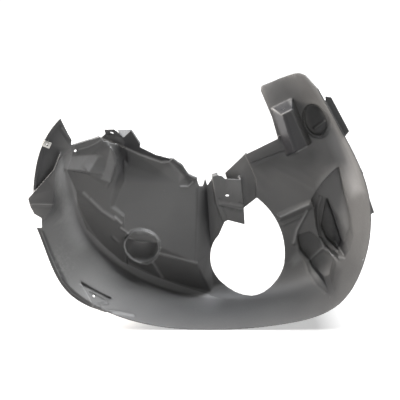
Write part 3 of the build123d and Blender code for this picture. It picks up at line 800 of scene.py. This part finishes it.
# Thin lines: painted highlights along folds and ribs, and painted shade along two steps. Many run along a rib
# that
# was pressed above. Each row: name, amount, half width in pixels, points in the picture.
RIB_LINES = {name: pixels for name, _, _, pixels in RIBS}
PAINTED_SHADE_AND_HIGHLIGHT_LINES = (
    ("flange_fold", -0.9, 1.6, ((101, 137), (120, 145.5), (140, 154.7), (161, 162.3), (169, 161.8),
                                (171.5, 159))),
    ("roll_inner", -0.6, 2.5, ((171, 163), (179, 171), (183, 177))),
    ("notch_fold", -0.8, 1.6, RIB_LINES["notch_fold"]),
    ("end_lip_line", -0.7, 1.4, ((79, 149.5), (88, 147), (96, 143.5), (100, 140.5))),
    ("crest", -0.8, 2.6, ((84, 193), (90, 199), (102, 211), (114, 219))),
    ("crest_rib_1", -0.8, 2.0, RIB_LINES["crest_rib_1"]),
    ("crest_rib_2", -0.8, 2.0, RIB_LINES["crest_rib_2"]),
    ("dish_rim_low", -0.9, 1.6, RIB_LINES["dish_rim_low"]),
    ("dish_rim_top", -0.5, 1.4, ((126, 235), (131, 230), (140, 228), (150, 230), (157, 236), (160, 241))),
    ("lid_light", -0.7, 2.5, ((138, 232.5), (146, 232), (152, 234.5))),
    ("lid_edge", -0.6, 1.4, ((130, 238), (136, 241), (143, 242.5), (150, 241.5), (157, 242))),
    ("bracket_step", 0.6, 1.3, ((219, 198.5), (243, 203.5))),
    ("bracket_step", 0.7, 1.3, ((219, 205.5), (244, 211))),
    ("shelf_ridge", -0.7, 2.4, ((159, 253.5), (177, 258), (196, 263))),
    ("undercut_rib", -0.6, 2.4, ((153, 263), (157, 270), (162, 277))),
    ("wing_crease", -0.6, 1.4, RIB_LINES["wing_crease"]),
    ("gusset_crease", -0.6, 1.3, ((32, 204), (53, 204.5))),
    ("boss_edge", -1.0, 1.2, ((273, 109), (281, 115), (293, 109))),
    ("boss_edge", -0.4, 1.2, ((284, 117), (295, 151))),
    ("boss_edge", -1.0, 1.2, ((296, 152.5), (307, 146.5))),
    ("strip_line", -0.7, 1.0, ((41, 231), (50, 254), (62, 281), (72, 293), (93, 307))),
    ("bead_upper", -0.5, 2.0, RIB_LINES["bead_upper"]),
    ("web_rib", -0.5, 2.0, RIB_LINES["web_rib"]),
    ("leaf_ridge", -0.5, 2.0, RIB_LINES["leaf_ridge"]),
    ("slot_rib", -0.9, 1.2, RIB_LINES["slot_rib"]),
    ("hollow_ridge", -0.4, 2.0, RIB_LINES["hollow_ridge"]),
    ("recess_rib", -0.7, 1.6, RIB_LINES["recess_rib"]),
    ("pocket_bar", -0.7, 1.4, RIB_LINES["pocket_bar"]),
    ("pocket_land", -0.6, 2.4, ((94, 306), (99, 309), (105, 312), (121, 313), (133, 315.5))),
)
# Borders with a painted highlight strip on the right of the line, as one walks along it. Each row: name,
# amount, width of the strip in pixels, points in the picture.
PAINTED_HIGHLIGHT_STRIPS = (
    ("tread_border", -0.8, 18.0, ((71, 158), (66.5, 171), (76, 192), (77, 207), (86, 229), (102, 245),
                                  (122, 262), (147, 274), (179, 286), (209, 295))),
)
print(len(PAINTED_SHADE_AND_HIGHLIGHT_AREAS), "areas,", len(PAINTED_SHADE_AND_HIGHLIGHT_LINES), "edges and", len(PAINTED_HIGHLIGHT_STRIPS), "strip")

# %% Paint the shade and highlights
STRIP_FADE = 1.2
PAINT_DEPTH_MM = 10.0


def from_line(places, ends):
    """Distance in pixels of each place to a line through points in the picture, below zero on its left."""
    nearest = np.full(len(places), np.inf)
    for a, b in zip(np.array(ends[:-1], float), np.array(ends[1:], float)):
        along, offset = b - a, places - a
        part = np.clip((offset @ along) / (along @ along), 0, 1)
        apart = np.linalg.norm(offset - part[:, None] * along, axis=1)
        right = along[0] * offset[:, 1] > along[1] * offset[:, 0]
        nearest = np.where(apart < abs(nearest), np.where(right, apart, -apart), nearest)
    return nearest


def inside(places, corners):
    """True for the places inside a polygon: a line to the right crosses its border an odd number of times."""
    odd = np.zeros(len(places), bool)
    for (ax, ay), (bx, by) in zip(corners, corners[1:] + corners[:1]):
        if ay != by:
            spans = (ay > places[:, 1]) != (by > places[:, 1])
            odd ^= spans & (places[:, 0] < ax + (places[:, 1] - ay) * (bx - ax) / (by - ay))
    return odd


def seen_points(points, places, share):
    """The points that have a share and that the camera sees, or that lie just behind what it sees."""
    eye = np.array(camera.location)
    found = []
    for i in np.flatnonzero(share > 0):
        hit = on_sheet(places[i])
        if hit and np.linalg.norm(points[i] - eye) - (hit[0] - camera.location).length < PAINT_DEPTH_MM * MM:
            found.append(i)
    return np.array(found, int)


def area_share(places, fade, corners):
    """1 inside a polygon and 0 outside it, with a fade across its border."""
    border = abs(from_line(places, corners + corners[:1]))
    return np.clip(0.5 + np.where(inside(places, corners), border, -border) / (2 * fade), 0, 1)


def edge_share(places, width, ends):
    """1 on a line and 0 from its half width on."""
    return np.clip(1 - abs(from_line(places, ends)) / width, 0, 1)


def strip_share(places, width, ends):
    """1 on a line, with a long fade to its right and a short one to its left."""
    away = from_line(places, ends)
    return np.clip(1 - np.where(away > 0, away / width, -away / STRIP_FADE), 0, 1)


def paint_shade_and_highlights(points):
    """A value for each point: the sum of the painted shade and highlights of the areas, edges and strips that
    the camera sees it in.
    """
    places = in_picture(points)
    value = np.zeros(len(points))
    for rows, share_of in ((PAINTED_SHADE_AND_HIGHLIGHT_AREAS, area_share), (PAINTED_SHADE_AND_HIGHLIGHT_LINES, edge_share), (PAINTED_HIGHLIGHT_STRIPS, strip_share)):
        for _, amount, width, line in rows:
            share = share_of(places, width, line)
            seen = seen_points(points, places, share)
            value[seen] += amount * share[seen]
    return np.clip(value, -1, 1)


target = sheet_tree()
# Above zero the value is painted shade, below zero a painted highlight.
painted_shade_and_highlight = paint_shade_and_highlights(coordinates(liner.data))
layer = liner.data.attributes.new("painted_shade_and_highlight", "FLOAT", "POINT")
layer.data.foreach_set("value", painted_shade_and_highlight)
print("deeper points:", int((painted_shade_and_highlight > 0.1).sum()), "paler points:", int((painted_shade_and_highlight < -0.1).sum()))

# %% [markdown]
# ## Scuffs
# Handling rubs the plastic pale in a few places. A value is painted on the points round each scuffed spot,
# and the material mixes its scratches in where the value is high.

# %% Paint the scuffs
# Each row: picture point, radius in mm, strength.
SCUFFS = (
    ((62, 185), 26.0, 0.5),
    ((70, 208), 34.0, 0.5),
    ((62, 262), 40.0, 0.35),
    ((335, 225), 30.0, 0.3),
    ((100, 307), 30.0, 0.5),
)

skin_points = coordinates(liner.data)
wear = np.zeros(len(skin_points))
for pixel, radius, amount in SCUFFS:
    spot, _ = on_sheet(pixel)
    away = np.linalg.norm(skin_points - np.array(spot), axis=1)
    wear += amount * np.exp(-(away / (radius * MM)) ** 2)
layer = liner.data.attributes.new("wear", "FLOAT", "POINT")
layer.data.foreach_set("value", np.clip(wear, 0, 1))
print("scuffed points:", int((wear > 0.1).sum()))

# %% [markdown]
# ## Fewer triangles
# The even skin has far more points than the flat walls need. A Decimate modifier merges them where the
# sheet is flat and leaves them where it bends. Points at the border of a painted area are kept too, because
# the value on a point is all the material knows.

# %% Thin the mesh out
MOST_TRIANGLES = 190000
SHARP_STEP = 0.08
KEEP_BORDERS = 0.5

ends = np.empty(len(liner.data.edges) * 2, np.int64)
liner.data.edges.foreach_get("vertices", ends)
ends = ends.reshape(-1, 2)
sharp = abs(painted_shade_and_highlight[ends[:, 0]] - painted_shade_and_highlight[ends[:, 1]]) > SHARP_STEP
borders = liner.vertex_groups.new(name="borders")
borders.add(np.unique(ends[sharp]).tolist(), KEEP_BORDERS, "REPLACE")
thin = liner.modifiers.new("thin", "DECIMATE")
thin.vertex_group = borders.name
thin.invert_vertex_group = True
thin.vertex_group_factor = 1.0
thin.ratio = min(1.0, MOST_TRIANGLES / (2 * len(liner.data.polygons)))
thin.use_collapse_triangulate = True
apply_modifiers(liner)
liner.data.shade_smooth()
liner.vertex_groups.clear()
print(len(liner.data.polygons), "triangles on the finished liner")

# %% Hand the liner over
liner.data.materials.clear()
liner.data.materials.append(plastic)
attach(liner, "root")
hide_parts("liner")
print(liner.name, "rides on the root and replaces the drawing's liner")

# %% [markdown]
# ## Clip nut
# A folded spring-steel clip nut sits on the edge of the wing flange. It is stamped from zinc plated strip,
# so its corners are slightly rounded and it has a cool, streaky shine. The drawing's clip gets a small
# bevel on its sharp edges.

# %% Zinc plated steel material
ZINC = "#b9b8b4"
ZINC_DULL = "#8d8c88"
STREAK_MM = 2.0
STREAK_DEPTH_MM = 0.05
STREAK_STRENGTH = 0.1
ZINC_ROUGH = (0.25, 0.42)

steel, tree, output = new_material("zinc_plated_spring_steel")
place = add_node(tree, "ShaderNodeTexCoord", {}, {}).outputs["Object"]
streak = add_node(tree, "ShaderNodeTexNoise", {},
                  {"Vector": place, "Scale": per_metre(STREAK_MM), "Detail": 4.0})
colour = add_node(tree, "ShaderNodeMix", {"data_type": "RGBA"},
                  {0: streak.outputs[0], 6: linear(ZINC_DULL), 7: linear(ZINC)})
rough = add_node(tree, "ShaderNodeMapRange", {},
                 {0: streak.outputs[0], 1: ROUGH_NOISE[0], 2: ROUGH_NOISE[1],
                  3: ZINC_ROUGH[0], 4: ZINC_ROUGH[1]})
bump = add_node(tree, "ShaderNodeBump", {},
                {"Strength": STREAK_STRENGTH, "Distance": STREAK_DEPTH_MM * MM, "Height": streak.outputs[0]})
shader = add_node(tree, "ShaderNodeBsdfPrincipled", {},
                  {"Base Color": colour.outputs[2], "Metallic": 1.0, "Roughness": rough.outputs[0],
                   "Normal": bump.outputs[0]})
tree.links.new(shader.outputs[0], output.inputs[0])
print(steel.name, "has", len(tree.nodes), "nodes")

# %% Clip with bevelled edges
BEVEL_MM = 0.25
SHARP_DEG = 30.0
MERGE_MM = 0.01
FLAT_DEG = 2

clip = bpy.data.objects.new("clip_nut", frame["nodes"]["edge_clip"].data.copy())
scene.collection.objects.link(clip)
shape = bmesh.new()
shape.from_mesh(clip.data)
bmesh.ops.remove_doubles(shape, verts=shape.verts, dist=MERGE_MM * MM)
bmesh.ops.dissolve_limit(shape, angle_limit=math.radians(FLAT_DEG), verts=shape.verts, edges=shape.edges)
shape.to_mesh(clip.data)
shape.free()
bevel = clip.modifiers.new("bevel", "BEVEL")
bevel.width = BEVEL_MM * MM
bevel.segments = 2
bevel.limit_method = "ANGLE"
bevel.angle_limit = math.radians(SHARP_DEG)
apply_modifiers(clip)
clip.data.shade_smooth()
clip.data.materials.clear()
clip.data.materials.append(steel)
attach(clip, "root")
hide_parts("edge_clip")
print("clip nut has", len(clip.data.polygons), "faces")
